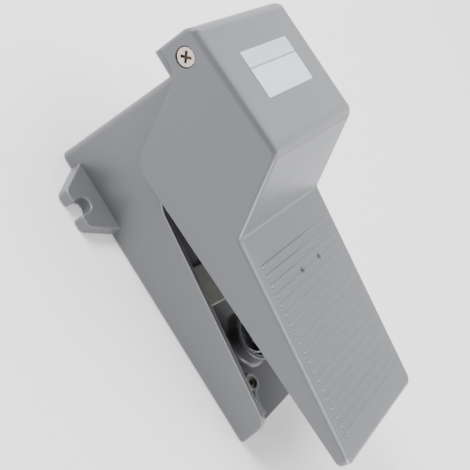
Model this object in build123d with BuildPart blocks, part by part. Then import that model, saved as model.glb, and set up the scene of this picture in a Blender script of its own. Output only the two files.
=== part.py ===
from build123d import *
import os
from math import asin, atan2, cos, hypot, radians, sin, sqrt, tan

os.makedirs("parts", exist_ok=True)

# Foot valve: a cast pedal hinged over a cast base that holds an upright spool valve.
# Millimetres. +X is the user's right, +Y points away from the user, +Z is up.
# The origin is on the floor, under the middle of the whole.
# A station is a distance in front of the rear wall's foot, a height is above the floor.

# Overall lengths
base_length = 190.0
flange_reach = 12.2
tread_reach = 32.0

# Pedal casting
pedal_half_width = 50.4
pedal_draft = 1.2
skirt_wall = 3.4
pick_slack = 0.3
rib_slack = 0.045
roof_wall = 3.2
hump_length = 62.7
hump_slope = 2.8
slope_foot_station = 90.4
slope_foot_height = 73.4
tread_slope = 6.45
pedal_edge_radius = 2.6
hump_edge_radius = 4.8
hump_front_radius = 10.0
hump_rear_radius = 8.5
slope_foot_radius = 3.0
tread_corner_radius = 5.5
skirt_front_depth = 7.0
skirt_edge_rise = 2.6
skirt_low_station = 28.7
skirt_low_radius = 15.0
skirt_top_station = 3.5
skirt_top_drop = 9.6
skirt_top_radius = 12.0

# Low ribs across the tread and stiffening ribs under it
tread_rib_count = 19
tread_rib_tip_margin = 13.8
tread_rib_width = 2.8
tread_rib_rise = 0.45
tread_rib_bevel = 0.4
tread_rib_length = 85.4
first_tread_rib_station = 109.0
under_rib_offset = 33.0
under_rib_wall = 2.2
under_rib_depth = 4.5
under_rib_start = 100.0
cross_rib_station = 196.0

# Pivot and its two screws
pivot_setback = 0.6
pivot_height = 102.3
press_angle = 10.0
lug_radius = 8.0
lug_wall = 6.0
roof_gap = 2.7
side_gap = 0.35
shank_radius = 2.5
screw_head_radius = 5.1
screw_head_rim = 0.4
screw_cone_depth = 1.6
screw_sink = 0.6
head_gap = 0.5
journal_gap = 0.06
thread_gap = 0.04
cross_width = 1.6
cross_length = 6.4
cross_depth = 1.4
cross_taper = 12.0

# Base casting
base_wall = 3.0
rear_wall = 3.5
rear_wall_lean = 1.4
floor_wall = 4.5
rim_front_height = 21.1
rim_front_setback = 4.7
rim_rear_station = 50.0
rim_rear_height = 39.6
shoulder_station = 30.0
shoulder_height = 84.0
rim_front_radius = 8.0
rim_rear_radius = 19.0
base_corner_radius = 4.0
base_front_radius = 2.0
shelf_wall = 5.2
shelf_gap = 0.3

# Floor ears with open slots
ear_reach = 21.2
ear_wall = 7.5
ear_root_rear = 9.3
ear_root_front = 53.0
ear_tip_rear = 20.5
ear_tip_front = 43.2
ear_tip_radius = 4.0
ear_mouth_radius = 2.0
ear_slot_station = 31.8
ear_slot_width = 8.6
ear_slot_depth = 11.0
ear_edge_radius = 0.8

# Front floor holes, each with a threaded bush
front_hole_station = 167.0
front_hole_spacing = 35.0
front_boss_radius = 5.5
front_boss_rise = 2.0
front_recess_radius = 3.8
front_recess_depth = 1.2
bush_radius = 2.75
bush_core_radius = 1.65
front_rib_wall = 2.0
front_rib_inset = 2.5
front_rib_spread = 5.3
front_rib_end_station = 186.0
front_rib_bend_radius = 20.0

# Spring between floor and tread
spring_station = 146.0
spring_radius = 10.5
spring_wire_radius = 1.1
spring_turns = 7
wire_sides = 8
spring_seat_gap = 0.3
ring_gap = 1.4
ring_wall = 2.4
ring_rise = 9.0
ring_top_radius = 1.0
ring_foot_radius = 2.5
spring_boss_gap = 1.2
spring_boss_depth = 5.0

# Upright valve
valve_half_width = 25.0
valve_depth = 35.0
valve_setback = 1.5
window_gap = 0.4
cover_setback = 0.5
spool_setback = 24.4
low_cover_wall = 5.5
top_cover_wall = 6.0
gasket_wall = 0.5
gasket_gap = 0.3
bore_radius = 8.0
gallery_radius = 10.5
gallery_pitch = 11.0
gallery_count = 5
gallery_length = 7.0
end_land = 9.0
port_radius = 5.9
port_depth = 11.0
port_offset = 11.0
passage_radius = 3.5
valve_edge_radius = 1.0
valve_screw_radius = 2.0
valve_screw_inset = 5.0
valve_screw_grip = 12.0
valve_screw_spare = 1.0
cap_head_radius = 3.5
cap_head_height = 4.0
hexagon_sides = 6
cap_socket_radius = 1.7
cap_socket_depth = 2.2
sunk_head_radius = 3.9
sunk_head_depth = 1.9
sunk_head_sink = 0.2
sunk_head_slant = 45.0

# Spool and what rides on it
spool_gap = 0.05
spool_neck_radius = 5.2
spool_land = 4.6
guide_land = 4.1
land_overlap = 1.0
stem_radius = 4.0
stem_gap = 0.06
button_radius = 7.0
button_height = 3.0
button_edge_radius = 0.6
stroke = 4.4
stroke_spare = 0.3
seal_depth = 1.2
seal_height = 1.6
seal_gap = 0.02
stem_seal_width = 2.0
stem_seal_height = 2.0
spool_spring_radius = 2.9
spool_spring_wire_radius = 0.4
spool_spring_turns = 6
spool_spring_gap = 0.3
spool_recess = 6.0
cover_recess = 3.0

# Press screw under the roof
press_screw_radius = 3.0
press_head_radius = 5.5
press_head_height = 4.0
press_dome_radius = 10.0
press_boss_radius = 7.0
press_nut_height = 3.0
press_nut_radius = 5.5
press_grip = 9.0
press_gap = 0.25

# Lock block with its heart track
lock_offset = 2.8
lock_half_width = 18.0
lock_rear_station = 92.0
lock_front_station = 117.5
lock_height = 29.5
lock_edge_radius = 1.2
lock_screw_spacing = 18.0
lock_screw_grip = 12.0
track_depth = 3.4
track_pitch = 10.0
track_gap = 0.25
track_overrun = 0.7
heart_notch = 2.5
heart_corner_radius = 0.8

# Follower link and its bracket under the tread
link_ratio = -2.6
way_steps = 10
link_length = 32.0
link_hinge_station = 108.1
link_hinge_drop = 8.5
link_wall = 3.0
link_half_width = 3.2
link_gap = 0.8
link_side_gap = 0.3
hinge_pin_radius = 1.5
hinge_head_radius = 2.4
hinge_head_height = 0.9
follower_pin_radius = 1.5
follower_pin_gap = 0.4
pin_gap = 0.05
bracket_wall = 1.5
bracket_ear_radius = 4.0
bracket_margin = 5.0
rivet_station = 124.5
rivet_spacing = 22.3
rivet_radius = 1.5
rivet_head_radius = 2.6
rivet_head_height = 1.0
rivet_sink = 0.2

# Label plate on the hump
label_width = 53.0
label_length = 27.3
label_wall = 0.2
label_station = 23.6
label_corner_radius = 1.0

rear_y = (base_length + tread_reach - flange_reach) / 2


def station(forward):
    """Y of a place this far in front of the rear wall's foot."""
    return rear_y - forward


def side(forward, height):
    """Point of the side view, on a plane that looks along X."""
    return (station(forward), height)


def inset(points, depth):
    """Corner points of the open line, moved to its right by depth."""
    moved = []
    for index, here in enumerate(points):
        before = points[max(index - 1, 0)]
        after = points[min(index + 1, len(points) - 1)]
        steps = [(here[0] - before[0], here[1] - before[1]), (after[0] - here[0], after[1] - here[1])]
        turns = [atan2(rise, run) for run, rise in steps if hypot(run, rise) > 0]
        middle = (turns[0] + turns[-1]) / 2
        reach = depth / cos((turns[-1] - turns[0]) / 2)
        moved.append((here[0] + reach * sin(middle), here[1] - reach * cos(middle)))
    return moved


def nearest(shapes, point):
    """The one of the shapes that lies nearest to the point."""
    return shapes.sort_by_distance(point)[0]


def turned(point, angle):
    """Point of the side view after the pedal has turned about its pivot by the angle."""
    run, rise = point[0] - pivot[0], point[1] - pivot[1]
    ahead = run * cos(radians(angle)) - rise * sin(radians(angle))
    up = run * sin(radians(angle)) + rise * cos(radians(angle))
    return (pivot[0] + ahead, pivot[1] + up)


def write(part, name):
    """Label one finished piece and write it."""
    part.label = name
    export_step(part, f"parts/{name}.step")


# Places that follow from the sizes
pivot = side(-pivot_setback, pivot_height)
tip_station = base_length + tread_reach
tread_drop = (tip_station - slope_foot_station) * tan(radians(tread_slope))
tip_height = slope_foot_height - tread_drop
roof_height = pivot_height + lug_radius + roof_gap + roof_wall
hump_front_height = roof_height + (hump_length + pivot_setback) * tan(radians(hump_slope))
hump_rear_height = roof_height - (flange_reach - pivot_setback) * tan(radians(hump_slope))
skirt_top_height = pivot_height - skirt_top_drop
shelf_top = skirt_top_height - shelf_gap
skirt_tip_height = tip_height - skirt_front_depth
skirt_low_height = skirt_tip_height - (tip_station - skirt_low_station) * tan(radians(skirt_edge_rise))
base_half_width = pedal_half_width - skirt_wall - side_gap


def half_width_at(height):
    """Half of the pedal's width at this height; its sides lean inward towards the top."""
    return pedal_half_width - (height - skirt_low_height) * tan(radians(pedal_draft))



tread_plane = Plane(
    origin=(0, *side(slope_foot_station, slope_foot_height)),
    x_dir=(1, 0, 0),
    z_dir=(0, -sin(radians(tread_slope)), cos(radians(tread_slope))),
)
under_tread = tread_plane.offset(-roof_wall)
hump_plane = Plane(
    origin=(0, *side(-pivot_setback, roof_height)),
    x_dir=(1, 0, 0),
    z_dir=(0, sin(radians(hump_slope)), cos(radians(hump_slope))),
)


def along_tread(forward):
    """Place of a station on the tread's own plane, whose +Y runs up the slope."""
    return (slope_foot_station - forward) / cos(radians(tread_slope))


# Heights of the valve's pieces, from the base's floor up
low_cover_top = floor_wall + low_cover_wall
body_low = low_cover_top + gasket_wall
galleries = [body_low + end_land + gallery_length / 2 + gallery_pitch * step for step in range(gallery_count)]
body_top = galleries[-1] + gallery_length / 2 + end_land
top_cover_low = body_top + gasket_wall
top_cover_top = top_cover_low + top_cover_wall
button_low = top_cover_top + stroke + stroke_spare
button_top = button_low + button_height
press_low = button_top + press_gap
press_boss_low = press_low + press_head_height + press_nut_height
spool_y = station(spool_setback)
body_rear = station(valve_setback)
body_front = body_rear - valve_depth
cover_rear = station(rear_wall + cover_setback)
cover_middle = (cover_rear + body_front) / 2
cover_depth = cover_rear - body_front
screw_rows = cover_depth - 2 * valve_screw_inset
screw_columns = 2 * (valve_half_width - valve_screw_inset)

# Places of the sunk screws that come up through the base's floor
lock_middle = station((lock_rear_station + lock_front_station) / 2)
valve_grid = [
    (column * screw_columns / 2, cover_middle + row * screw_rows / 2)
    for column in (-1, 1)
    for row in (-1, 1)
]
lock_grid = [(lock_offset + column * lock_screw_spacing / 2, lock_middle) for column in (-1, 1)]

# Heights of the spool's lands: two guides at its ends and two that switch the outlets
spool_low = body_low + stroke + stroke_spare
spool_high = body_top - stroke_spare
land_b_top = galleries[1] + gallery_length / 2 + land_overlap
land_a_top = galleries[3] + gallery_length / 2 + land_overlap
lands = [
    (spool_low, spool_low + guide_land),
    (land_b_top - spool_land, land_b_top),
    (land_a_top - spool_land, land_a_top),
    (spool_high - guide_land, spool_high),
]

# The follower's hinge under the tread, and the way of its pin while the pedal goes down
hinge = under_tread.from_local_coords(Vector(0, along_tread(link_hinge_station), -link_hinge_drop))
hinge_place = (hinge.Y, hinge.Z)
pin_way = []
for step in range(way_steps + 1):
    angle = press_angle * step / way_steps
    swing = radians(angle * (1 + link_ratio))
    carried = turned(hinge_place, angle)
    pin_way.append((carried[0] + link_length * sin(swing), carried[1] - link_length * cos(swing)))
way_rear = max(y for y, z in pin_way)
way_front = min(y for y, z in pin_way)
lane_y = (way_rear + way_front) / 2
lane_half = (way_rear - way_front) / 2 + follower_pin_radius + track_gap
track_top = pin_way[0][1] + lane_half + track_overrun
track_low = pin_way[-1][1] - lane_half - track_overrun
lock_right = lock_offset + lock_half_width
link_left = lock_right + link_gap
link_right = link_left + link_wall
ear_places = [
    link_left - link_side_gap - bracket_wall / 2,
    link_right + link_side_gap + bracket_wall / 2,
]


def screw_profile(tip_x, gap, head_radius, reach):
    """Half outline of a countersunk pivot screw, or of its hole, along +X from tip_x outward."""
    rim_low = head_face - screw_head_rim
    cone_low = rim_low - screw_cone_depth
    Polyline(
        (tip_x, 0),
        (tip_x, shank_radius + gap),
        (cone_low, shank_radius + gap),
        (rim_low, head_radius),
        (head_face + reach, head_radius),
        (head_face + reach, 0),
        close=True,
    )


head_face = half_width_at(pivot_height) - screw_sink
lug_inner = base_half_width - lug_wall
pivot_axis = Axis((0, *pivot), (1, 0, 0))
pivot_section = Plane(origin=(0, *pivot), x_dir=(1, 0, 0), z_dir=(0, -1, 0))

# Pedal: hump, tread and skirts in one casting that is open below
roof_line = [
    (-flange_reach, skirt_top_height),
    (-flange_reach, hump_rear_height),
    (hump_length, hump_front_height),
    (slope_foot_station, slope_foot_height),
    (tip_station, tip_height),
    (tip_station, skirt_tip_height),
]
skirt_line = [
    (skirt_low_station, skirt_low_height),
    (skirt_top_station, skirt_top_height),
]
hollow_line = inset(roof_line, roof_wall)
hollow_low = skirt_low_height - skirt_front_depth
hollow_line[0] = (hollow_line[0][0], hollow_low)
hollow_line[-1] = (hollow_line[-1][0], hollow_low)


def on_roof_rim(edge):
    """True for the outer edges that run round the casting's upper faces."""
    middle = edge @ 0.5
    forward = rear_y - middle.Y
    low = skirt_top_height + pick_slack if forward < skirt_low_station else tip_height - pick_slack
    crosses = edge.bounding_box().size.X > pedal_half_width and forward < tip_station - pick_slack
    return middle.Z > low and not crosses


def on_rib_top(point):
    """True for a point in the plane of the tops of the tread's low ribs."""
    return abs(tread_plane.to_local_coords(point).Z - tread_rib_rise) < rib_slack


with BuildPart() as pedal:
    with BuildSketch(Plane.YZ) as pedal_side:
        with BuildLine():
            Polyline(*[side(*point) for point in roof_line + skirt_line], close=True)
        make_face()
        for place, radius in (
            (roof_line[1], hump_rear_radius),
            (roof_line[2], hump_front_radius),
            (roof_line[3], slope_foot_radius),
            (skirt_line[0], skirt_low_radius),
            (skirt_line[1], skirt_top_radius),
        ):
            fillet(nearest(pedal_side.vertices(), (*side(*place), 0)), radius)
    extrude(amount=pedal_half_width, both=True)
    with BuildSketch(Plane.XZ) as lean:
        with BuildLine():
            Polyline(
                (half_width_at(skirt_low_height), skirt_low_height),
                (pedal_half_width, hump_front_height),
                (half_width_at(hump_front_height), hump_front_height),
                close=True,
            )
        make_face()
        mirror(about=Plane.YZ)
    extrude(amount=tip_station, both=True, mode=Mode.SUBTRACT)
    tip_middle = (tip_height + skirt_tip_height) / 2
    for side_sign in (-1, 1):
        tip_corner = (side_sign * half_width_at(tip_middle), *side(tip_station, tip_middle))
        fillet(nearest(pedal.edges(), tip_corner), tread_corner_radius)
    fillet(pedal.edges().filter_by(on_roof_rim), pedal_edge_radius)
    # the hump's two long edges are rounder than the rest of the rim
    with BuildSketch(Plane(origin=hump_plane.origin, x_dir=(1, 0, 0), z_dir=hump_plane.y_dir)):
        for side_sign, outward in ((-1, Align.MAX), (1, Align.MIN)):
            hump_half_width = half_width_at(roof_height - hump_edge_radius)
            with Locations((side_sign * (hump_half_width - hump_edge_radius), hump_edge_radius)):
                Rectangle(2 * hump_edge_radius, 2 * hump_edge_radius, align=(outward, Align.MAX))
                Circle(hump_edge_radius, mode=Mode.SUBTRACT)
    extrude(amount=slope_foot_station, both=True, mode=Mode.SUBTRACT)
    with BuildSketch(Plane.YZ):
        with BuildLine():
            Polyline(*[side(*point) for point in hollow_line], close=True)
        make_face()
    extrude(amount=pedal_half_width - skirt_wall, both=True, mode=Mode.SUBTRACT)
    # boss for the press screw, seat for the spring, and stiffening ribs
    with BuildSketch(Plane.XY.offset(press_boss_low)):
        with Locations((0, spool_y)):
            Circle(press_boss_radius)
    extrude(amount=roof_height - roof_wall / 2 - press_boss_low)
    with BuildSketch(under_tread):
        with Locations((0, along_tread(spring_station))):
            Circle(spring_radius - spring_wire_radius - spring_boss_gap)
    extrude(amount=-spring_boss_depth)
    with BuildSketch(under_tread):
        rib_start = along_tread(under_rib_start)
        rib_end = along_tread(tip_station - roof_wall / 2)
        with Locations((0, (rib_start + rib_end) / 2)):
            with GridLocations(2 * under_rib_offset, 0, 2, 1):
                Rectangle(under_rib_wall, rib_start - rib_end)
        with Locations((0, along_tread(cross_rib_station))):
            Rectangle(2 * under_rib_offset, under_rib_wall)
    extrude(amount=-under_rib_depth)
    # low ribs across the tread, against slipping
    with BuildSketch(tread_plane):
        first_rib = along_tread(first_tread_rib_station)
        last_rib = along_tread(tip_station - tread_rib_tip_margin)
        tread_rib_pitch = (first_rib - last_rib) / (tread_rib_count - 1)
        with Locations((0, (first_rib + last_rib) / 2)):
            with GridLocations(0, tread_rib_pitch, 1, tread_rib_count):
                SlotOverall(tread_rib_length, tread_rib_width)
    extrude(amount=tread_rib_rise)
    rib_tops = pedal.faces().filter_by(lambda face: on_rib_top(face.center()))
    chamfer(rib_tops.edges(), tread_rib_bevel)
    # holes for the pivot screws, the press screw and the rivets
    with BuildSketch(pivot_section):
        with BuildLine():
            screw_profile(lug_inner, journal_gap, screw_head_radius + head_gap, screw_sink + head_gap)
        make_face()
        mirror(about=Plane.YZ)
    revolve(axis=pivot_axis, mode=Mode.SUBTRACT)
    with BuildSketch(Plane.XY.offset(press_boss_low)):
        with Locations((0, spool_y)):
            Circle(press_screw_radius + thread_gap)
    extrude(amount=press_grip, mode=Mode.SUBTRACT)
    with BuildSketch(tread_plane):
        with Locations((lock_offset, along_tread(rivet_station))):
            with GridLocations(rivet_spacing, 0, 2, 1):
                Circle(rivet_radius + pin_gap)
    extrude(amount=-2 * roof_wall, mode=Mode.SUBTRACT)
write(pedal.part, "pedal")

# Pivot screws, one from each side into the base's lugs
for name, side_sign in (("pivot_screw_left", -1), ("pivot_screw_right", 1)):
    with BuildPart() as pivot_screw:
        with BuildSketch(pivot_section):
            with BuildLine():
                screw_profile(lug_inner, 0, screw_head_radius, 0)
            make_face()
        revolve(axis=pivot_axis)
        fillet(pivot_screw.edges().filter_by(GeomType.CIRCLE).sort_by(Axis.X)[-1], screw_head_rim / 2)
        with BuildSketch(Plane(origin=(head_face, *pivot), x_dir=(0, 1, 0), z_dir=(1, 0, 0))):
            Rectangle(cross_length, cross_width)
            Rectangle(cross_width, cross_length)
        extrude(amount=-cross_depth, taper=cross_taper, mode=Mode.SUBTRACT)
        if side_sign < 0:
            mirror(about=Plane.YZ, mode=Mode.REPLACE)
    write(pivot_screw.part, name)

# Base: floor, rear wall with its window, side walls, lugs, rear shelf and floor ears
wall_outline = [
    (0, 0),
    (base_length, 0),
    (base_length - rim_front_setback, rim_front_height),
    (rim_rear_station, rim_rear_height),
    (shoulder_station, shoulder_height),
    (lug_radius - pivot_setback, pivot_height),
    (rear_wall_lean, pivot_height),
    (rear_wall_lean, shelf_top - shelf_wall),
]
ear_root = base_half_width - base_wall / 2
ear_tip = base_half_width + ear_reach

with BuildPart() as base:
    floor_lean = rim_front_setback * floor_wall / rim_front_height
    front_foot = (*side(base_length, 0), 0)
    with BuildSketch(Plane.YZ) as floor_side:
        with BuildLine():
            Polyline(
                side(0, 0),
                side(base_length, 0),
                side(base_length - floor_lean, floor_wall),
                side(rear_wall, floor_wall),
                close=True,
            )
        make_face()
        fillet(nearest(floor_side.vertices(), front_foot), base_front_radius)
    extrude(amount=base_half_width, both=True)
    with BuildSketch(Plane.YZ):
        with BuildLine():
            Polyline(
                side(0, 0),
                side(rear_wall, 0),
                side(rear_wall, shelf_top),
                side(-flange_reach, shelf_top),
                side(-flange_reach, shelf_top - shelf_wall),
                side(rear_wall_lean, shelf_top - shelf_wall),
                close=True,
            )
        make_face()
    extrude(amount=base_half_width, both=True)
    for side_sign in (-1, 1):
        with BuildSketch(Plane.YZ.offset(side_sign * base_half_width)) as wall_side:
            with BuildLine():
                Polyline(*[side(*point) for point in wall_outline], close=True)
            make_face()
            front_corner = (*side(*wall_outline[2]), 0)
            fillet(nearest(wall_side.vertices(), front_corner), rim_front_radius)
            rear_corner = (*side(*wall_outline[3]), 0)
            fillet(nearest(wall_side.vertices(), rear_corner), rim_rear_radius)
            fillet(nearest(wall_side.vertices(), front_foot), base_front_radius)
        extrude(amount=-side_sign * base_wall)
        with BuildSketch(Plane.YZ.offset(side_sign * base_half_width)):
            with Locations(pivot):
                Circle(lug_radius)
            with Locations((pivot[0], shelf_top)):
                Rectangle(2 * lug_radius, pivot_height - shelf_top, align=(Align.CENTER, Align.MIN))
            with Locations((pivot[0], shelf_top)):
                Rectangle(2 * lug_radius, shelf_wall, align=(Align.CENTER, Align.MAX))
        extrude(amount=-side_sign * lug_wall)
        rear_edge = (side_sign * base_half_width, *side(rear_wall_lean / 2, shelf_top / 2))
        fillet(nearest(base.edges(), rear_edge), base_corner_radius)
        # ear with an open slot for a floor bolt
        with BuildSketch() as ear:
            with BuildLine():
                Polyline(
                    (side_sign * ear_root, station(ear_root_rear)),
                    (side_sign * ear_tip, station(ear_tip_rear)),
                    (side_sign * ear_tip, station(ear_tip_front)),
                    (side_sign * ear_root, station(ear_root_front)),
                    close=True,
                )
            make_face()
            tips = ear.vertices().group_by(Axis.X)[0 if side_sign < 0 else -1]
            fillet(tips, ear_tip_radius)
            slot_end = ear_tip - ear_slot_depth + ear_slot_width / 2
            with Locations((side_sign * slot_end, station(ear_slot_station))):
                Circle(ear_slot_width / 2, mode=Mode.SUBTRACT)
            with Locations((side_sign * (slot_end + ear_slot_depth / 2), station(ear_slot_station))):
                Rectangle(ear_slot_depth, ear_slot_width, mode=Mode.SUBTRACT)
            outermost = ear.vertices().group_by(Axis.X)[0 if side_sign < 0 else -1]
            mouth = outermost.sort_by_distance((side_sign * ear_tip, station(ear_slot_station)))[:2]
            fillet(mouth, ear_mouth_radius)
        extrude(amount=ear_wall)
        ear_rim = base.edges().filter_by_position(Axis.Z, ear_wall, ear_wall)
        clear_of_wall = base_half_width + ear_edge_radius
        ear_rim = ear_rim.filter_by(lambda edge: side_sign * (edge @ 0.5).X > clear_of_wall)
        fillet(ear_rim, ear_edge_radius)
    # window for the valve's ports in the rear wall
    window_low = body_low - window_gap
    window_height = body_top - body_low + 2 * window_gap
    with BuildSketch(Plane.XZ.offset(-station(0) - flange_reach)):
        with Locations((0, window_low)):
            Rectangle(
                2 * (valve_half_width + window_gap), window_height, align=(Align.CENTER, Align.MIN)
            )
    extrude(amount=flange_reach + rear_wall + cover_setback, mode=Mode.SUBTRACT)
    # ring that holds the spring, bosses and ribs of the front holes
    ring_inner = spring_radius + spring_wire_radius + ring_gap
    with BuildSketch(Plane.XY.offset(floor_wall)):
        with Locations((0, station(spring_station))):
            Circle(ring_inner + ring_wall)
            Circle(ring_inner, mode=Mode.SUBTRACT)
    extrude(amount=ring_rise)
    for height, radius in (
        (floor_wall, ring_foot_radius),
        (floor_wall + ring_rise, ring_top_radius),
    ):
        circles = base.edges().filter_by(GeomType.CIRCLE).filter_by_position(Axis.Z, height, height)
        fillet(circles.sort_by(SortBy.RADIUS)[-1], radius)
    with BuildSketch(Plane.XY.offset(floor_wall)):
        with Locations((0, station(front_hole_station))):
            with GridLocations(front_hole_spacing, 0, 2, 1):
                Circle(front_boss_radius)
    extrude(amount=front_boss_rise)
    with BuildSketch(Plane.XY.offset(floor_wall)):
        with BuildLine():
            rib_start = (front_hole_spacing / 2 - front_rib_inset, station(front_hole_station))
            rib_end = (front_hole_spacing / 2 + front_rib_spread, station(front_rib_end_station))
            RadiusArc(rib_start, rib_end, front_rib_bend_radius)
        trace(line_width=front_rib_wall)
        mirror(about=Plane.YZ)
    extrude(amount=front_boss_rise)
    front_boss_top = floor_wall + front_boss_rise
    for radius, depth in (
        (bush_radius + thread_gap, front_boss_top),
        (front_recess_radius, front_recess_depth),
    ):
        with BuildSketch(Plane.XY.offset(front_boss_top)):
            with Locations((0, station(front_hole_station))):
                with GridLocations(front_hole_spacing, 0, 2, 1):
                    Circle(radius)
        extrude(amount=-depth, mode=Mode.SUBTRACT)
    # holes for the pivot screws
    with BuildSketch(Plane.YZ):
        with Locations(pivot):
            Circle(shank_radius + thread_gap)
    extrude(amount=2 * base_half_width, both=True, mode=Mode.SUBTRACT)
    # countersunk holes from below for the valve and for the lock block
    sunk_hole_radius = sunk_head_radius + sunk_head_sink
    for radius, depth, slant in (
        (valve_screw_radius + thread_gap, floor_wall, 0),
        (sunk_hole_radius, sunk_hole_radius - valve_screw_radius, sunk_head_slant),
    ):
        with BuildSketch():
            with Locations(*valve_grid, *lock_grid):
                Circle(radius)
        extrude(amount=depth, taper=slant, mode=Mode.SUBTRACT)
write(base.part, "base")

# Threaded bushes in the two front bosses
with BuildPart() as front_bushes:
    with BuildSketch():
        with Locations((0, station(front_hole_station))):
            with GridLocations(front_hole_spacing, 0, 2, 1):
                Circle(bush_radius)
                Circle(bush_core_radius, mode=Mode.SUBTRACT)
    extrude(amount=front_boss_top - front_recess_depth)
write(front_bushes.part, "front_bushes")

# Upright valve body: spool bore with its five galleries, five ports on the rear face
spool_section = Plane(origin=(0, spool_y, 0), x_dir=(1, 0, 0), z_dir=(0, -1, 0))
spool_axis = Axis((0, spool_y, 0), (0, 0, 1))
left_ports = galleries[0::2]
right_ports = galleries[1::2]

with BuildPart() as valve_body:
    with BuildSketch(Plane.XY.offset(body_low)):
        with Locations((0, (body_rear + body_front) / 2)):
            Rectangle(2 * valve_half_width, valve_depth)
    extrude(amount=body_top - body_low)
    fillet(valve_body.edges().filter_by(Axis.Z), valve_edge_radius)
    with BuildSketch(spool_section):
        bore_line = [(0, body_low), (bore_radius, body_low)]
        for height in galleries:
            low, high = height - gallery_length / 2, height + gallery_length / 2
            bore_line += [(bore_radius, low), (gallery_radius, low)]
            bore_line += [(gallery_radius, high), (bore_radius, high)]
        bore_line += [(bore_radius, body_top), (0, body_top)]
        with BuildLine():
            Polyline(*bore_line, close=True)
        make_face()
    revolve(axis=spool_axis, mode=Mode.SUBTRACT)
    port_places = [(-port_offset, height) for height in left_ports]
    port_places += [(port_offset, height) for height in right_ports]
    for radius, depth in ((port_radius, port_depth), (passage_radius, body_rear - spool_y)):
        with BuildSketch(Plane.XZ.offset(-body_rear)):
            with Locations(*port_places):
                Circle(radius)
        extrude(amount=depth, mode=Mode.SUBTRACT)
    for low in (body_low, body_top - valve_screw_grip - valve_screw_spare):
        with BuildSketch(Plane.XY.offset(low)):
            with Locations((0, cover_middle)):
                with GridLocations(screw_columns, screw_rows, 2, 2):
                    Circle(valve_screw_radius + thread_gap)
        extrude(amount=valve_screw_grip + valve_screw_spare, mode=Mode.SUBTRACT)
write(valve_body.part, "valve_body")

# End covers and their gaskets
stem_seal_radius = stem_radius + stem_gap + stem_seal_width
spool_recess_radius = spool_spring_radius + spool_spring_wire_radius + spool_spring_gap
plates = (
    ("valve_top_cover", top_cover_low, top_cover_wall, stem_radius + stem_gap),
    ("valve_bottom_cover", floor_wall, low_cover_wall, 0),
    ("top_gasket", body_top, gasket_wall, bore_radius + gasket_gap),
    ("bottom_gasket", low_cover_top, gasket_wall, bore_radius + gasket_gap),
)
for name, low, wall, hole_radius in plates:
    with BuildPart() as plate:
        with BuildSketch(Plane.XY.offset(low)):
            with Locations((0, cover_middle)):
                RectangleRounded(2 * valve_half_width, cover_depth, valve_edge_radius)
                with GridLocations(screw_columns, screw_rows, 2, 2):
                    Circle(valve_screw_radius + thread_gap, mode=Mode.SUBTRACT)
            if hole_radius > 0:
                with Locations((0, spool_y)):
                    Circle(hole_radius, mode=Mode.SUBTRACT)
        extrude(amount=wall)
        if name == "valve_top_cover":
            with BuildSketch(Plane.XY.offset(top_cover_top)):
                with Locations((0, spool_y)):
                    Circle(stem_seal_radius + seal_gap)
            extrude(amount=-stem_seal_height, mode=Mode.SUBTRACT)
        if name == "valve_bottom_cover":
            with BuildSketch(Plane.XY.offset(low_cover_top)):
                with Locations((0, spool_y)):
                    Circle(spool_recess_radius)
            extrude(amount=-cover_recess, mode=Mode.SUBTRACT)
    write(plate.part, name)

# Screws of the covers from above, and of the whole valve from under the base's floor
with BuildPart() as cover_screws:
    for low, radius, rise in (
        (body_top - valve_screw_grip, valve_screw_radius, top_cover_top - body_top + valve_screw_grip),
        (top_cover_top, cap_head_radius, cap_head_height),
    ):
        with BuildSketch(Plane.XY.offset(low)):
            with Locations((0, cover_middle)):
                with GridLocations(screw_columns, screw_rows, 2, 2):
                    Circle(radius)
        extrude(amount=rise)
    with BuildSketch(Plane.XY.offset(top_cover_top + cap_head_height)):
        with Locations((0, cover_middle)):
            with GridLocations(screw_columns, screw_rows, 2, 2):
                RegularPolygon(cap_socket_radius, hexagon_sides)
    extrude(amount=-cap_socket_depth, mode=Mode.SUBTRACT)
write(cover_screws.part, "cover_screws")

sunk_screws = (
    ("valve_mounting_screws", valve_grid, body_low + valve_screw_grip),
    ("lock_block_screws", lock_grid, floor_wall + lock_screw_grip),
)
for name, places, tip in sunk_screws:
    with BuildPart() as screws:
        with BuildSketch(Plane.XY.offset(sunk_head_sink)):
            with Locations(*places):
                Circle(sunk_head_radius)
        extrude(amount=sunk_head_depth, taper=sunk_head_slant)
        with BuildSketch(Plane.XY.offset(sunk_head_sink + sunk_head_depth / 2)):
            with Locations(*places):
                Circle(valve_screw_radius)
        extrude(amount=tip - sunk_head_sink - sunk_head_depth / 2)
        with BuildSketch(Plane.XY.offset(sunk_head_sink)):
            with Locations(*places):
                RegularPolygon(cap_socket_radius, hexagon_sides)
        extrude(amount=sunk_head_depth / 2, mode=Mode.SUBTRACT)
    write(screws.part, name)

# Spool with two switching lands between two guides, and its stem
land_radius = bore_radius - spool_gap
groove_radius = land_radius - seal_depth
with BuildPart() as spool:
    with BuildSketch(spool_section):
        spool_line = [(0, spool_low)]
        for low, high in lands:
            middle = (low + high) / 2
            if low > spool_low:
                spool_line.append((spool_neck_radius, low))
            spool_line += [
                (land_radius, low),
                (land_radius, middle - seal_height / 2),
                (groove_radius, middle - seal_height / 2),
                (groove_radius, middle + seal_height / 2),
                (land_radius, middle + seal_height / 2),
                (land_radius, high),
            ]
            if high < spool_high:
                spool_line.append((spool_neck_radius, high))
        spool_line += [(stem_radius, spool_high), (stem_radius, button_low), (0, button_low)]
        with BuildLine():
            Polyline(*spool_line, close=True)
        make_face()
    revolve(axis=spool_axis)
    with BuildSketch(Plane.XY.offset(spool_low)):
        with Locations((0, spool_y)):
            Circle(spool_recess_radius)
    extrude(amount=spool_recess, mode=Mode.SUBTRACT)
write(spool.part, "spool")

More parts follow.
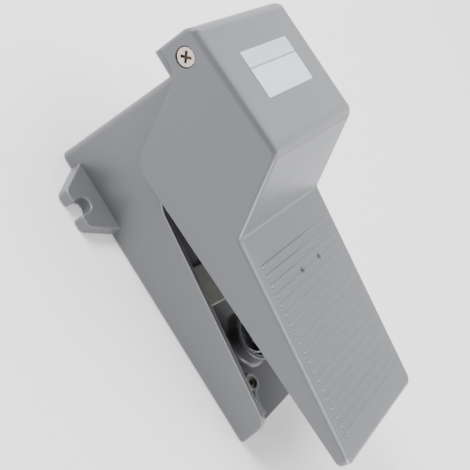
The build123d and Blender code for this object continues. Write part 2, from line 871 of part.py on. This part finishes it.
with BuildPart() as spool_seals:
    for low, high in lands:
        with BuildSketch(Plane.XY.offset((low + high - seal_height) / 2 + seal_gap)):
            with Locations((0, spool_y)):
                Circle(bore_radius - seal_gap)
                Circle(groove_radius + seal_gap, mode=Mode.SUBTRACT)
        extrude(amount=seal_height - 2 * seal_gap)
write(spool_seals.part, "spool_seals")

with BuildPart() as stem_seal:
    with BuildSketch(Plane.XY.offset(top_cover_top - stem_seal_height)):
        with Locations((0, spool_y)):
            Circle(stem_seal_radius)
            Circle(stem_radius + stem_gap, mode=Mode.SUBTRACT)
    extrude(amount=stem_seal_height)
write(stem_seal.part, "stem_seal")

with BuildPart() as push_button:
    with BuildSketch(Plane.XY.offset(button_low)):
        with Locations((0, spool_y)):
            Circle(button_radius)
    extrude(amount=button_height)
    fillet(push_button.edges().group_by(Axis.Z)[-1], button_edge_radius)
write(push_button.part, "push_button")

# Coil springs: one under the spool, one between the floor ring and the tread
tread_contact = along_tread(spring_station + spring_radius + spring_wire_radius)
spring_high = under_tread.from_local_coords(Vector(0, tread_contact, 0)).Z - spring_seat_gap
springs = (
    (
        "spool_spring",
        spool_y,
        low_cover_top - cover_recess + spool_spring_gap,
        spool_low + spool_recess - spool_spring_gap,
        spool_spring_radius,
        spool_spring_wire_radius,
        spool_spring_turns,
    ),
    (
        "pedal_spring",
        station(spring_station),
        floor_wall,
        spring_high,
        spring_radius,
        spring_wire_radius,
        spring_turns,
    ),
)
for name, middle_y, low, high, radius, wire_radius, turns in springs:
    with BuildPart() as spring:
        rise = high - low - 2 * wire_radius
        with BuildLine() as coil:
            Helix(rise / turns, rise, radius, center=(0, middle_y, low + wire_radius))
        with BuildSketch(Plane(origin=coil.line @ 0, z_dir=coil.line % 0)):
            RegularPolygon(wire_radius, wire_sides)
        sweep(path=coil.line, is_frenet=True)
    write(spring.part, name)

# Press screw with a domed head under the roof, and its nut
dome_turn = asin(press_head_radius / press_dome_radius)
dome_rise = press_dome_radius * (1 - cos(dome_turn))
dome_middle = (
    press_dome_radius * sin(dome_turn / 2),
    press_low + press_dome_radius * (1 - cos(dome_turn / 2)),
)
press_head_top = press_low + press_head_height
press_tip = press_boss_low + press_grip - press_gap
with BuildPart() as press_screw:
    with BuildSketch(spool_section):
        with BuildLine():
            ThreePointArc((0, press_low), dome_middle, (press_head_radius, press_low + dome_rise))
            Polyline(
                (press_head_radius, press_low + dome_rise),
                (press_head_radius, press_head_top),
                (press_screw_radius, press_head_top),
                (press_screw_radius, press_tip),
                (0, press_tip),
                (0, press_low),
            )
        make_face()
    revolve(axis=spool_axis)
write(press_screw.part, "press_screw")

with BuildPart() as press_nut:
    with BuildSketch(Plane.XY.offset(press_head_top)):
        with Locations((0, spool_y)):
            RegularPolygon(press_nut_radius, hexagon_sides)
            Circle(press_screw_radius + thread_gap, mode=Mode.SUBTRACT)
    extrude(amount=press_nut_height)
write(press_nut.part, "press_nut")

# Lock block: a heart-shaped island in a track on its right face
lane = 2 * lane_half
back_lane_y = lane_y + track_pitch
roof_drop = track_pitch
island_high = track_top - lane * sqrt(2)
track_line = [
    (lane_y - lane_half, track_low),
    (lane_y - lane_half, track_top),
    (lane_y + lane_half, track_top),
    (back_lane_y + lane_half, track_top - roof_drop),
    (back_lane_y + lane_half, track_low),
]
heart_line = [
    (lane_y + lane_half, track_low + lane),
    (lane_y + lane_half, island_high),
    (back_lane_y - lane_half, island_high - (track_pitch - lane)),
    (back_lane_y - lane_half, track_low + lane),
    (lane_y + track_pitch / 2, track_low + lane + heart_notch),
]
lock_depth = lock_front_station - lock_rear_station
with BuildPart() as lock_block:
    with BuildSketch(Plane.XY.offset(floor_wall)):
        with Locations((lock_offset, lock_middle)):
            Rectangle(2 * lock_half_width, lock_depth)
    extrude(amount=lock_height)
    fillet(lock_block.edges().filter_by(Axis.Z), lock_edge_radius)
    fillet(lock_block.edges().group_by(Axis.Z)[-1], lock_edge_radius)
    with BuildSketch(Plane.YZ.offset(lock_right)) as track:
        with BuildLine():
            Polyline(*track_line, close=True)
        make_face()
        fillet(track.vertices(), heart_corner_radius)
        with BuildSketch(mode=Mode.SUBTRACT) as heart:
            with BuildLine():
                Polyline(*heart_line, close=True)
            make_face()
            fillet(heart.vertices(), heart_corner_radius)
    extrude(amount=-track_depth, mode=Mode.SUBTRACT)
    with BuildSketch(Plane.XY.offset(floor_wall)):
        with Locations(*lock_grid):
            Circle(valve_screw_radius + thread_gap)
    extrude(amount=lock_screw_grip + valve_screw_spare, mode=Mode.SUBTRACT)
write(lock_block.part, "lock_block")

# Follower link on the tread, with the pin that runs in the track
pin_y, pin_z = pin_way[0]
with BuildPart() as follower_link:
    with BuildSketch(Plane.YZ.offset(link_left)):
        with Locations((pin_y, (pin_z + hinge.Z) / 2)):
            SlotCenterToCenter(link_length, 2 * link_half_width, rotation=90)
        with Locations(hinge_place):
            Circle(hinge_pin_radius + pin_gap, mode=Mode.SUBTRACT)
        with Locations((pin_y, pin_z)):
            Circle(follower_pin_radius + thread_gap, mode=Mode.SUBTRACT)
    extrude(amount=link_wall)
write(follower_link.part, "follower_link")

with BuildPart() as follower_pin:
    with BuildSketch(Plane.YZ.offset(link_right)):
        with Locations((pin_y, pin_z)):
            Circle(follower_pin_radius)
    extrude(amount=follower_pin_gap - link_wall - link_gap - track_depth)
    with BuildSketch(Plane.YZ.offset(link_right)):
        with Locations((pin_y, pin_z)):
            Circle(hinge_head_radius)
    extrude(amount=hinge_head_height)
write(follower_pin.part, "follower_pin")

# Bracket under the tread: riveted plate with two ears that hold the hinge pin
ear_inner = ear_places[0] - bracket_wall / 2
ear_outer = ear_places[1] + bracket_wall / 2
plate_left = lock_offset - rivet_spacing / 2 - bracket_margin
plate_front = along_tread(rivet_station) - bracket_margin
plate_rear = along_tread(link_hinge_station) + bracket_ear_radius
with BuildPart() as lock_bracket:
    with BuildSketch(under_tread):
        with Locations(((plate_left + ear_outer) / 2, (plate_front + plate_rear) / 2)):
            Rectangle(ear_outer - plate_left, plate_rear - plate_front)
        with Locations((lock_offset, along_tread(rivet_station))):
            with GridLocations(rivet_spacing, 0, 2, 1):
                Circle(rivet_radius + pin_gap, mode=Mode.SUBTRACT)
    extrude(amount=-bracket_wall)
    for ear_x in ear_places:
        ear_plane = Plane(
            origin=(ear_x, *hinge_place), x_dir=tread_plane.y_dir, z_dir=(1, 0, 0)
        )
        with BuildSketch(ear_plane):
            Circle(bracket_ear_radius)
            Rectangle(
                2 * bracket_ear_radius, link_hinge_drop, align=(Align.CENTER, Align.MIN)
            )
            Circle(hinge_pin_radius + pin_gap, mode=Mode.SUBTRACT)
        extrude(amount=bracket_wall / 2, both=True)
write(lock_bracket.part, "lock_bracket")

with BuildPart() as link_hinge_pin:
    for low, high, radius in (
        (ear_inner, ear_outer, hinge_pin_radius),
        (ear_inner - hinge_head_height, ear_inner, hinge_head_radius),
        (ear_outer, ear_outer + hinge_head_height, hinge_head_radius),
    ):
        with BuildSketch(Plane.YZ.offset(low)):
            with Locations(hinge_place):
                Circle(radius)
        extrude(amount=high - low)
write(link_hinge_pin.part, "link_hinge_pin")

with BuildPart() as bracket_rivets:
    for top, radius, length in (
        (-rivet_sink, rivet_radius, roof_wall - rivet_sink + bracket_wall + rivet_head_height),
        (-roof_wall - bracket_wall, rivet_head_radius, rivet_head_height),
    ):
        with BuildSketch(tread_plane.offset(top)):
            with Locations((lock_offset, along_tread(rivet_station))):
                with GridLocations(rivet_spacing, 0, 2, 1):
                    Circle(radius)
        extrude(amount=-length)
write(bracket_rivets.part, "bracket_rivets")

# Bare label plate on the hump
with BuildPart() as label_plate:
    label_run = (label_station + pivot_setback) / cos(radians(hump_slope))
    with BuildSketch(hump_plane):
        with Locations((0, -label_run)):
            RectangleRounded(label_width, label_length, label_corner_radius)
    extrude(amount=label_wall)
write(label_plate.part, "label_plate")
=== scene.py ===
import math

import bmesh
import bpy
from mathutils import Matrix, Quaternion, Vector


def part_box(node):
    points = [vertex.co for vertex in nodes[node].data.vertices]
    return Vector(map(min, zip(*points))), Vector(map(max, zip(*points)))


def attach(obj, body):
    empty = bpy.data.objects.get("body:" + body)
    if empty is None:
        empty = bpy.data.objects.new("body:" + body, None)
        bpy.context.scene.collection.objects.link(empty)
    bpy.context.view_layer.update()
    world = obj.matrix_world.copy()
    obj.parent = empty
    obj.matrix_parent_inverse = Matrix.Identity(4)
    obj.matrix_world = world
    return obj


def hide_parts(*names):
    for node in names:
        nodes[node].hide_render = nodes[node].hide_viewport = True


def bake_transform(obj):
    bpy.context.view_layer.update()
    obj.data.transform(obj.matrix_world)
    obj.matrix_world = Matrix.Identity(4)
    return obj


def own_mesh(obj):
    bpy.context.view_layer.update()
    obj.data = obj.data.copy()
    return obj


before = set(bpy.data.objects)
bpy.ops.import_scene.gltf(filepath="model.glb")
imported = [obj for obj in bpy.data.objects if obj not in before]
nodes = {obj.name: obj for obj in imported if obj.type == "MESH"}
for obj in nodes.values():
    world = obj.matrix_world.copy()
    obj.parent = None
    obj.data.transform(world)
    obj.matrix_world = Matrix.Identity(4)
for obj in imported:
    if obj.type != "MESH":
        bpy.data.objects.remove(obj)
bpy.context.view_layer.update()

# Places on the pedal that its painted highlights and shade are measured from, in metres
pedal_low, pedal_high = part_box("pedal")
pedal_tip = pedal_low[1]
pedal_rear = pedal_high[1]
pedal_side = pedal_high[0]

# Noise textures stay between these two values nearly everywhere
noise_low = 0.3
noise_high = 0.7


def middle_of(low, high):
    return tuple((a + b) / 2 for a, b in zip(low, high))


# Node trees

class Nodes:
    """Short names for the nodes that the materials and the world are made of."""

    def __init__(self, tree):
        self.tree = tree

    def add(self, kind, **settings):
        node = self.tree.nodes.new(kind)
        for key, value in settings.items():
            setattr(node, key, value)
        return node

    def join(self, source, target):
        self.tree.links.new(source, target)

    def give(self, value, target):
        """Gives a socket a number, a colour or what another node puts out."""
        if isinstance(value, (int, float)):
            target.default_value = value
        elif isinstance(value, tuple):
            target.default_value = (*value, 1.0)
        else:
            self.join(value, target)

    def maths(self, kind, *values):
        node = self.add("ShaderNodeMath", operation=kind)
        for value, socket in zip(values, node.inputs):
            self.give(value, socket)
        return node.outputs[0]

    def product(self, first, *others):
        result = first
        for factor in others:
            result = self.maths("MULTIPLY", result, factor)
        return result

    def distance(self, first, second):
        """Length of the diagonal of two distances at right angles."""
        squares = self.maths("ADD", self.product(first, first), self.product(second, second))
        return self.maths("SQRT", squares)

    def span(self, value, low, high, to_low, to_high, smooth=False):
        """Moves a value from the span between low and high to the one between to_low and to_high."""
        node = self.add("ShaderNodeMapRange")
        if smooth:
            node.interpolation_type = "SMOOTHSTEP"
        node.inputs["From Min"].default_value = low
        node.inputs["From Max"].default_value = high
        node.inputs["To Min"].default_value = to_low
        node.inputs["To Max"].default_value = to_high
        self.join(value, node.inputs["Value"])
        return node.outputs[0]

    def apart(self, vector):
        """The X, Y and Z of a vector."""
        node = self.add("ShaderNodeSeparateXYZ")
        self.join(vector, node.inputs[0])
        return node.outputs["X"], node.outputs["Y"], node.outputs["Z"]


class Paint(Nodes):
    """A material under construction: one shader, and short names for what feeds it."""

    def __init__(self, name):
        self.material = bpy.data.materials.new(name)
        self.material.use_nodes = True
        super().__init__(self.material.node_tree)
        self.tree.nodes.clear()
        self.shader = self.add("ShaderNodeBsdfPrincipled")
        self.join(self.shader.outputs[0], self.add("ShaderNodeOutputMaterial").inputs["Surface"])
        self.place = self.add("ShaderNodeTexCoord").outputs["Object"]

    def set(self, **values):
        for key, value in values.items():
            self.shader.inputs[key.replace("_", " ")].default_value = value

    def stretched(self, scale):
        mapping = self.add("ShaderNodeMapping")
        mapping.inputs["Scale"].default_value = scale
        self.join(self.place, mapping.inputs["Vector"])
        return mapping.outputs[0]

    def noise(self, scale, detail=2.0, roughness=0.5, vector=None):
        node = self.add("ShaderNodeTexNoise")
        node.inputs["Scale"].default_value = scale
        node.inputs["Detail"].default_value = detail
        node.inputs["Roughness"].default_value = roughness
        self.join(vector or self.place, node.inputs["Vector"])
        return node.outputs["Fac"]

    def varied(self, noise, low, high):
        """Noise as a value that varies between low and high."""
        return self.span(noise, noise_low, noise_high, low, high)

    def blend(self, amount, first, second):
        """Colour that goes from the first to the second as the amount goes from 0 to 1."""
        node = self.add("ShaderNodeMix", data_type="RGBA")
        self.give(amount, node.inputs[0])
        self.give(first, node.inputs[6])
        self.give(second, node.inputs[7])
        return node.outputs[2]

    def scaled(self, colour, factor):
        """Colour, a plain tuple, times a grey factor that varies over the surface."""
        node = self.add("ShaderNodeVectorMath", operation="SCALE")
        node.inputs[0].default_value = colour
        self.join(factor, node.inputs["Scale"])
        return node.outputs[0]

    def bump(self, height, distance, after=None):
        node = self.add("ShaderNodeBump")
        node.inputs["Distance"].default_value = distance
        self.join(height, node.inputs["Height"])
        if after is not None:
            self.join(after, node.inputs["Normal"])
        return node.outputs[0]

    def colour(self, value):
        self.join(value, self.shader.inputs["Base Color"])

    def roughness(self, value):
        self.join(value, self.shader.inputs["Roughness"])

    def normal(self, value):
        self.join(value, self.shader.inputs["Normal"])


# Painted highlights and shade on the pedal

def painted_shade_round_rivets(paint):
    """Mask of dark, ragged painted shade round the ends of the two rivets in the tread."""
    mark_radius = 0.0013
    mark_fade = 0.0005
    strength = 0.92
    low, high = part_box("bracket_rivets")
    middle_x, middle_y, _ = middle_of(low, high)
    rivet_radius = (high[1] - low[1]) / 2
    rivet_offset = (high[0] - low[0]) / 2 - rivet_radius
    x, y, _ = paint.apart(paint.place)
    from_middle = paint.maths("ABSOLUTE", paint.maths("SUBTRACT", x, middle_x))
    aside = paint.maths("SUBTRACT", from_middle, rivet_offset)
    ahead = paint.maths("SUBTRACT", y, middle_y)
    ragged = paint.varied(paint.noise(1100.0), -0.0011, 0.0009)
    away = paint.maths("ADD", paint.distance(aside, ahead), ragged)
    return paint.span(away, mark_radius, mark_radius + mark_fade, strength, 0.0, smooth=True)


def painted_shade_round_screws(paint):
    """Mask of a dark ring of painted shade in the gap round the heads of the two pivot screws."""
    ring_width = 0.0003
    ring_fade = 0.0003
    strength = 0.85
    low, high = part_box("pivot_screw_left")
    _, middle_y, middle_z = middle_of(low, high)
    ring_radius = (high[2] - low[2]) / 2 + ring_width
    _, y, z = paint.apart(paint.place)
    ahead = paint.maths("SUBTRACT", y, middle_y)
    above = paint.maths("SUBTRACT", z, middle_z)
    ragged = paint.varied(paint.noise(500.0), -0.00015, 0.00015)
    away = paint.maths("ADD", paint.distance(ahead, above), ragged)
    return paint.span(away, ring_radius, ring_radius + ring_fade, strength, 0.0, smooth=True)


def painted_edge_highlight(paint):
    """Mask of a painted highlight along the rounded outer edges of the slope and the tread, strongest
    towards the tip.
    """
    edge_width = 0.0042
    edge_fade = 0.001
    slope_top = pedal_rear - 0.0711
    slope_fade = 0.010
    highlight_least_at = pedal_rear - 0.0771
    highlight_most_at = pedal_tip + 0.0071
    least = 0.35
    least_upward = 0.15
    x, y, _ = paint.apart(paint.place)
    normal_x, _, normal_z = paint.apart(paint.add("ShaderNodeNewGeometry").outputs["Normal"])
    # 0 on the flat top and 1 on the side wall, so that the rounding lies between
    sideways = paint.maths("ABSOLUTE", normal_x)
    past_flat = paint.span(sideways, 0.25, 0.6, 0.0, 1.0, smooth=True)
    short_of_side = paint.span(sideways, 0.75, 0.96, 1.0, 0.0, smooth=True)
    edge_start = pedal_side - edge_width
    outer = paint.span(paint.maths("ABSOLUTE", x), edge_start, edge_start + edge_fade, 0.0, 1.0)
    upward = paint.maths("GREATER_THAN", normal_z, least_upward)
    towards_tip = paint.span(y, highlight_least_at, highlight_most_at, least, 1.0)
    below_hump = paint.span(y, slope_top, slope_top - slope_fade, 0.0, 1.0)
    return paint.product(past_flat, short_of_side, outer, upward, towards_tip, below_hump)


def painted_rib_end_glints(paint):
    """Mask of small painted highlights at the left ends of the tread's ribs."""
    rib_count = 19
    rib_end = -0.0424
    first_rib = pedal_rear - 0.1212
    last_rib = pedal_tip + 0.0138
    rib_pitch = (first_rib - last_rib) / (rib_count - 1)
    margin = 0.001
    glint_radius = 0.00025
    glint_fade = 0.00045
    strength = 0.8
    x, y, _ = paint.apart(paint.place)
    aside = paint.maths("SUBTRACT", x, rib_end)
    ahead = paint.maths("PINGPONG", paint.maths("SUBTRACT", first_rib, y), rib_pitch / 2)
    away = paint.distance(aside, ahead)
    glint_mask = paint.span(away, glint_radius, glint_radius + glint_fade, 1.0, 0.0, smooth=True)
    ahead_of_first = paint.maths("LESS_THAN", y, first_rib + margin)
    behind_last = paint.maths("GREATER_THAN", y, last_rib - margin)
    return paint.product(glint_mask, ahead_of_first, behind_last, strength)


def painted_light_on_pedal(paint, coat):
    """The pedal's colour with painted highlights on its edges and rib ends, and painted shade round the
    screws and rivets, over it.
    """
    # Painted highlights first, then painted shade, laid over the casting's colour
    for mask, colour in (
        (painted_edge_highlight(paint), (0.34, 0.34, 0.355)),
        (painted_rib_end_glints(paint), (0.42, 0.42, 0.44)),
        (painted_shade_round_screws(paint), (0.018, 0.018, 0.018)),
        (painted_shade_round_rivets(paint), (0.022, 0.022, 0.024)),
    ):
        coat = paint.blend(mask, coat, colour)
    return coat


# Materials

def cast_aluminium(name, tone, rough=0.44, grain=0.00035, edge_highlight=1.1, painted_light=None):
    """Fine blasted and lacquered casting with faint clouds.

    Its edges are softened and carry a painted highlight: edge_highlight is how many times paler they are
    than the faces.
    """
    edge_softening = 0.0004
    highlight_width = 0.0012
    # Seen from inside the metal, other faces are near only at an outer edge
    open_at_edge = 0.50
    open_on_face = 0.90
    grain_depth = 0.000035
    paint = Paint(name)
    fine = paint.noise(1 / grain, detail=3.0, roughness=0.6)
    cloud = paint.noise(45.0, detail=3.0)
    slow = paint.noise(11.0, detail=1.0)
    soft = paint.add("ShaderNodeBevel", samples=4)
    soft.inputs["Radius"].default_value = edge_softening
    corner = paint.add("ShaderNodeAmbientOcclusion", samples=6, inside=True, only_local=True)
    corner.inputs["Distance"].default_value = highlight_width
    # The last factor pales the outer edges: a painted highlight
    shade = paint.product(
        paint.varied(fine, 0.955, 1.045),
        paint.varied(cloud, 0.985, 1.015),
        paint.varied(slow, 0.985, 1.015),
        paint.span(corner.outputs["AO"], open_at_edge, open_on_face, edge_highlight, 1.0),
    )
    coat = paint.scaled(tone, shade)
    paint.colour(painted_light(paint, coat) if painted_light else coat)
    uneven = paint.varied(cloud, rough - 0.03, rough + 0.03)
    paint.roughness(paint.maths("ADD", uneven, paint.varied(fine, -0.04, 0.04)))
    paint.normal(paint.bump(fine, grain_depth, after=soft.outputs[0]))
    paint.set(Metallic=0.3, Coat_Weight=0.3, Coat_Roughness=0.2)
    return paint.material


def turned_metal(name, tone, rough, streaks=(900.0, 900.0, 900.0)):
    """Turned or drawn metal with fine streaks and small stains."""
    streak_depth = 0.00001
    paint = Paint(name)
    streak = paint.noise(1.0, vector=paint.stretched(streaks))
    stain = paint.noise(260.0, detail=3.0)
    shade = paint.product(paint.varied(streak, 0.93, 1.05), paint.varied(stain, 0.95, 1.03))
    paint.colour(paint.scaled(tone, shade))
    paint.roughness(paint.varied(streak, rough - 0.05, rough + 0.08))
    paint.normal(paint.bump(streak, streak_depth))
    paint.set(Metallic=1.0)
    return paint.material


def plated_screw(name, tone):
    """Warm plated screw, darker and browner deep in the recess of its head."""
    recess_colour = (0.130, 0.082, 0.055)
    plain_depth = 0.00012
    darkest_depth = 0.0005
    scratch_depth = 0.00001
    paint = Paint(name)
    x, _, _ = paint.apart(paint.place)
    head_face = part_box("pivot_screw_right")[1][0]
    outward = paint.maths("ABSOLUTE", x)
    sunk = paint.span(outward, head_face - darkest_depth, head_face - plain_depth, 1.0, 0.0, smooth=True)
    scratch = paint.noise(900.0, detail=3.0)
    stain = paint.noise(420.0)
    shade = paint.product(paint.varied(scratch, 0.9, 1.06), paint.varied(stain, 0.92, 1.05))
    paint.colour(paint.blend(sunk, paint.scaled(tone, shade), recess_colour))
    paint.roughness(paint.maths("ADD", paint.varied(scratch, 0.24, 0.36), paint.product(sunk, 0.4)))
    paint.normal(paint.bump(scratch, scratch_depth))
    paint.join(paint.span(sunk, 0.0, 1.0, 0.85, 0.0), paint.shader.inputs["Metallic"])
    return paint.material


def black_finish(name, tone, rough):
    """Black oxide on steel: dark, slightly oily, uneven."""
    grain_depth = 0.00001
    paint = Paint(name)
    fine = paint.noise(1800.0)
    cloud = paint.noise(220.0)
    paint.colour(paint.scaled(tone, paint.varied(cloud, 0.8, 1.3)))
    paint.roughness(paint.varied(fine, rough - 0.08, rough + 0.1))
    paint.normal(paint.bump(fine, grain_depth))
    paint.set(Metallic=0.55)
    return paint.material


def moulded(name, tone, rough, grain=900.0):
    """Moulded plastic or rubber with a faint texture and slight shade changes."""
    grain_depth = 0.000015
    paint = Paint(name)
    fine = paint.noise(grain)
    cloud = paint.noise(80.0)
    paint.colour(paint.scaled(tone, paint.varied(cloud, 0.94, 1.06)))
    paint.roughness(paint.varied(fine, rough - 0.05, rough + 0.07))
    paint.normal(paint.bump(fine, grain_depth))
    return paint.material


def bare_label(name):
    """Finely streaked metallic film with a thin blue line across it, darker behind the line."""
    line_place = 0.36
    line_half_width = 0.010
    line_fade = 0.014
    line_strength = 0.85
    ground_fade = 0.02
    streaks = (40.0, 2600.0, 40.0)
    paint = Paint(name)
    low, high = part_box("label_plate")
    _, y, _ = paint.apart(paint.place)
    down = paint.span(y, high[1], low[1], 0.0, 1.0)
    from_line = paint.maths("ABSOLUTE", paint.maths("SUBTRACT", down, line_place))
    on_line = paint.span(from_line, line_half_width, line_half_width + line_fade, 1.0, 0.0, smooth=True)
    behind_line = paint.span(down, line_place - ground_fade, line_place, 1.0, 0.0, smooth=True)
    streak = paint.noise(1.0, vector=paint.stretched(streaks))
    ground = paint.blend(behind_line, (0.60, 0.63, 0.665), (0.52, 0.55, 0.575))
    ground = paint.blend(paint.span(streak, 0.35, 0.65, 0.0, 0.10), ground, (0.28, 0.30, 0.32))
    paint.colour(paint.blend(paint.product(on_line, line_strength), ground, (0.08, 0.20, 0.34)))
    paint.roughness(paint.varied(streak, 0.34, 0.44))
    paint.set(Metallic=0.35)
    return paint.material


cover_cast = cast_aluminium("cover_casting", (0.36, 0.37, 0.39), rough=0.46, grain=0.0006)
nickel = plated_screw("nickel_screw", (0.54, 0.46, 0.40))
zinc = turned_metal("zinc_steel", (0.66, 0.67, 0.70), rough=0.34)
wire_metal = turned_metal("spring_wire", (0.72, 0.72, 0.75), rough=0.22)
black_steel = black_finish("black_oxide", (0.035, 0.035, 0.038), rough=0.45)
dark_plate = black_finish("dark_plate", (0.06, 0.06, 0.065), rough=0.4)
rubber = moulded("black_rubber", (0.02, 0.02, 0.021), rough=0.6, grain=1500.0)

looks = {
    "pedal": cast_aluminium("pedal_casting", (0.132, 0.134, 0.143), painted_light=painted_light_on_pedal),
    # The base's outer edges get a strong painted highlight
    "base": cast_aluminium("base_casting", (0.134, 0.135, 0.142), rough=0.47, edge_highlight=2.5),
    "valve_body": cast_aluminium("valve_body_casting", (0.40, 0.41, 0.43), rough=0.42, grain=0.0006),
    "valve_top_cover": cover_cast,
    "valve_bottom_cover": cover_cast,
    "top_gasket": rubber,
    "bottom_gasket": rubber,
    "spool": turned_metal("ground_spool", (0.74, 0.74, 0.76), rough=0.22, streaks=(60.0, 60.0, 4000.0)),
    "spool_seals": rubber,
    "stem_seal": rubber,
    "push_button": turned_metal("turned_brass", (0.80, 0.60, 0.28), rough=0.28),
    "spool_spring": wire_metal,
    "pedal_spring": wire_metal,
    "cover_screws": black_steel,
    "valve_mounting_screws": black_steel,
    "lock_block_screws": black_steel,
    "pivot_screw_left": nickel,
    "pivot_screw_right": nickel,
    "press_screw": zinc,
    "press_nut": zinc,
    "lock_block": moulded("beige_block", (0.50, 0.49, 0.45), rough=0.75),
    "follower_link": dark_plate,
    "follower_pin": zinc,
    "link_hinge_pin": zinc,
    "lock_bracket": dark_plate,
    "bracket_rivets": black_finish("rivet_ends", (0.030, 0.030, 0.032), rough=0.38),
    "front_bushes": turned_metal("dull_brass", (0.27, 0.25, 0.17), rough=0.42),
    "label_plate": bare_label("bare_label"),
}

for node_name, material in looks.items():
    slots = nodes[node_name].data.materials
    slots.clear()
    slots.append(material)


# Pieces that are drawn in another way than in the CAD model

def placed(name, data):
    """New object in the scene."""
    thing = bpy.data.objects.new(name, data)
    bpy.context.collection.objects.link(thing)
    return thing


def wound(name, replaced, wire_radius, turns, steps=48, sides=16):
    """Round wire coil in the place of a faceted one, and the middles of its foot and its top."""
    low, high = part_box(replaced)
    middle_x, middle_y, _ = middle_of(low, high)
    reach = (high[0] - low[0]) / 2 - wire_radius
    rise = high[2] - low[2] - 2 * wire_radius
    steepness = rise / (2 * math.pi * turns * reach)
    mesh = bmesh.new()
    rings = []
    for index in range(turns * steps + 1):
        along = index / (turns * steps)
        turn = 2 * math.pi * turns * along
        outward = Vector((math.cos(turn), math.sin(turn), 0.0))
        place = Vector((middle_x, middle_y, low[2] + wire_radius + rise * along)) + reach * outward
        ahead = Vector((-math.sin(turn), math.cos(turn), steepness)).normalized()
        upward = outward.cross(ahead)
        ring = []
        for side in range(sides):
            angle = 2 * math.pi * side / sides
            spoke = math.cos(angle) * outward + math.sin(angle) * upward
            ring.append(mesh.verts.new(place + wire_radius * spoke))
        rings.append(ring)
    for first, second in zip(rings, rings[1:]):
        for side in range(sides):
            after = (side + 1) % sides
            mesh.faces.new((first[side], first[after], second[after], second[side]))
    mesh.faces.new(rings[0][::-1])
    mesh.faces.new(rings[-1])
    bmesh.ops.recalc_face_normals(mesh, faces=mesh.faces)
    for face in mesh.faces:
        face.smooth = len(face.verts) == 4
    data = bpy.data.meshes.new(name)
    mesh.to_mesh(data)
    mesh.free()
    data.materials.append(wire_metal)
    coil = placed(name, data)
    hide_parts(replaced)
    return coil, (middle_x, middle_y, low[2]), (middle_x, middle_y, high[2])


def turned_screw(name, replaced, degrees):
    """Copy of a screw's mesh, turned about its axis by degrees so that its cross lies as in the photo."""
    middle = Vector(middle_of(*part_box(replaced)))
    turn = Matrix.Rotation(math.radians(degrees), 4, "X")
    source = nodes[replaced]
    mesh = source.data.copy()
    mesh.name = name
    mesh.transform(source.matrix_world)
    mesh.transform(Matrix.Translation(middle) @ turn @ Matrix.Translation(-middle))
    screw = placed(name, mesh)
    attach(screw, "base_unit")
    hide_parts(replaced)


turned_screw("turned_screw_left", "pivot_screw_left", 43.0)
turned_screw("turned_screw_right", "pivot_screw_right", 21.0)

# The pedal's coil stands on the base
pedal_coil, pedal_coil_foot, pedal_coil_top = wound(
    "pedal_coil", "pedal_spring", wire_radius=0.0011, turns=7
)
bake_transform(pedal_coil)

# The spool's coil stands on the bottom cover and rides with the base unit
spool_coil, spool_coil_foot, spool_coil_top = wound(
    "spool_coil", "spool_spring", wire_radius=0.0004, turns=6, steps=32, sides=10
)
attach(spool_coil, "base_unit")
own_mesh(spool_coil)


# Floor, backdrop, light and camera

def pale_floor():
    """Matt, nearly white floor that glows a little."""
    paint = Paint("pale_floor")
    cloud = paint.noise(3.0, detail=1.0)
    paint.colour(paint.scaled((0.9, 0.9, 0.9), paint.varied(cloud, 0.995, 1.005)))
    paint.set(Roughness=0.9, Emission_Color=(1.0, 1.0, 1.0, 1.0), Emission_Strength=0.2)
    return paint.material


floor_size = 40.0
floor_drop = 0.0004
bpy.ops.mesh.primitive_plane_add(size=floor_size, location=(0, 0, -floor_drop))
floor = bpy.context.object
floor.name = "floor"
floor.data.materials.append(pale_floor())

world = bpy.data.worlds.new("studio")
bpy.context.scene.world = world
world.use_nodes = True
backdrop = world.node_tree.nodes["Background"]
backdrop.inputs["Color"].default_value = (0.98, 0.99, 1.0, 1.0)

# The studio is pale round the horizon, palest on the right side of the part, and dark above
pale = 0.8
dark = 0.03
added_on_right = 2.2
studio = Nodes(world.node_tree)
right, _, up = studio.apart(studio.add("ShaderNodeTexCoord").outputs["Generated"])
horizon = studio.span(up, 0.20, 0.42, pale, dark, smooth=True)
to_the_right = studio.span(right, 0.15, 0.75, 0.0, 1.0, smooth=True)
sweep = studio.span(up, 0.30, 0.55, added_on_right, 0.0, smooth=True)
studio.join(studio.maths("MULTIPLY_ADD", to_the_right, sweep, horizon), backdrop.inputs["Strength"])

lit_place = (0.0, 0.0, 0.05)
cool = (0.965, 0.98, 1.0)
white = (1.0, 1.0, 1.0)


def soft_light(name, place, size, power, tint):
    """Round area light of a size in metres and a power in watts that faces the part."""
    light = bpy.data.lights.new(name, "AREA")
    light.shape = "DISK"
    light.size = size
    light.energy = power
    light.color = tint
    lamp = placed(name, light)
    lamp.location = place
    lamp.rotation_mode = "QUATERNION"
    lamp.rotation_quaternion = (Vector(lit_place) - Vector(place)).to_track_quat("-Z", "Y")


soft_light("top", place=(0.0, 0.0, 1.6), size=1.6, power=25.0, tint=cool)
soft_light("key", place=(0.8, 0.1, 1.2), size=1.2, power=9.5, tint=cool)
soft_light("card", place=(1.1, -0.05, 0.75), size=1.0, power=1.5, tint=white)
soft_light("front", place=(-0.5, -1.3, 0.5), size=0.8, power=7.0, tint=white)
soft_light("low_front", place=(-0.32, -1.2, 0.17), size=0.3, power=5.0, tint=white)
soft_light("front_right", place=(0.7, -1.0, 0.8), size=0.8, power=8.5, tint=cool)
soft_light("rear", place=(-0.3, 1.2, 0.9), size=0.8, power=38.0, tint=cool)

# The camera's place, turn and lens were fitted to the part's edges in the photo
lens = bpy.data.cameras.new("camera")
lens.sensor_width = 36.0
lens.lens = 73.009
lens.clip_start = 0.01
lens.clip_end = 20.0
camera = placed("camera", lens)
camera.location = (-0.447092, 0.037381, 0.349613)
camera.rotation_mode = "QUATERNION"
camera.rotation_quaternion = Quaternion((0.8504464, 0.1089729, -0.4499169, -0.2498813))
bpy.context.scene.camera = camera
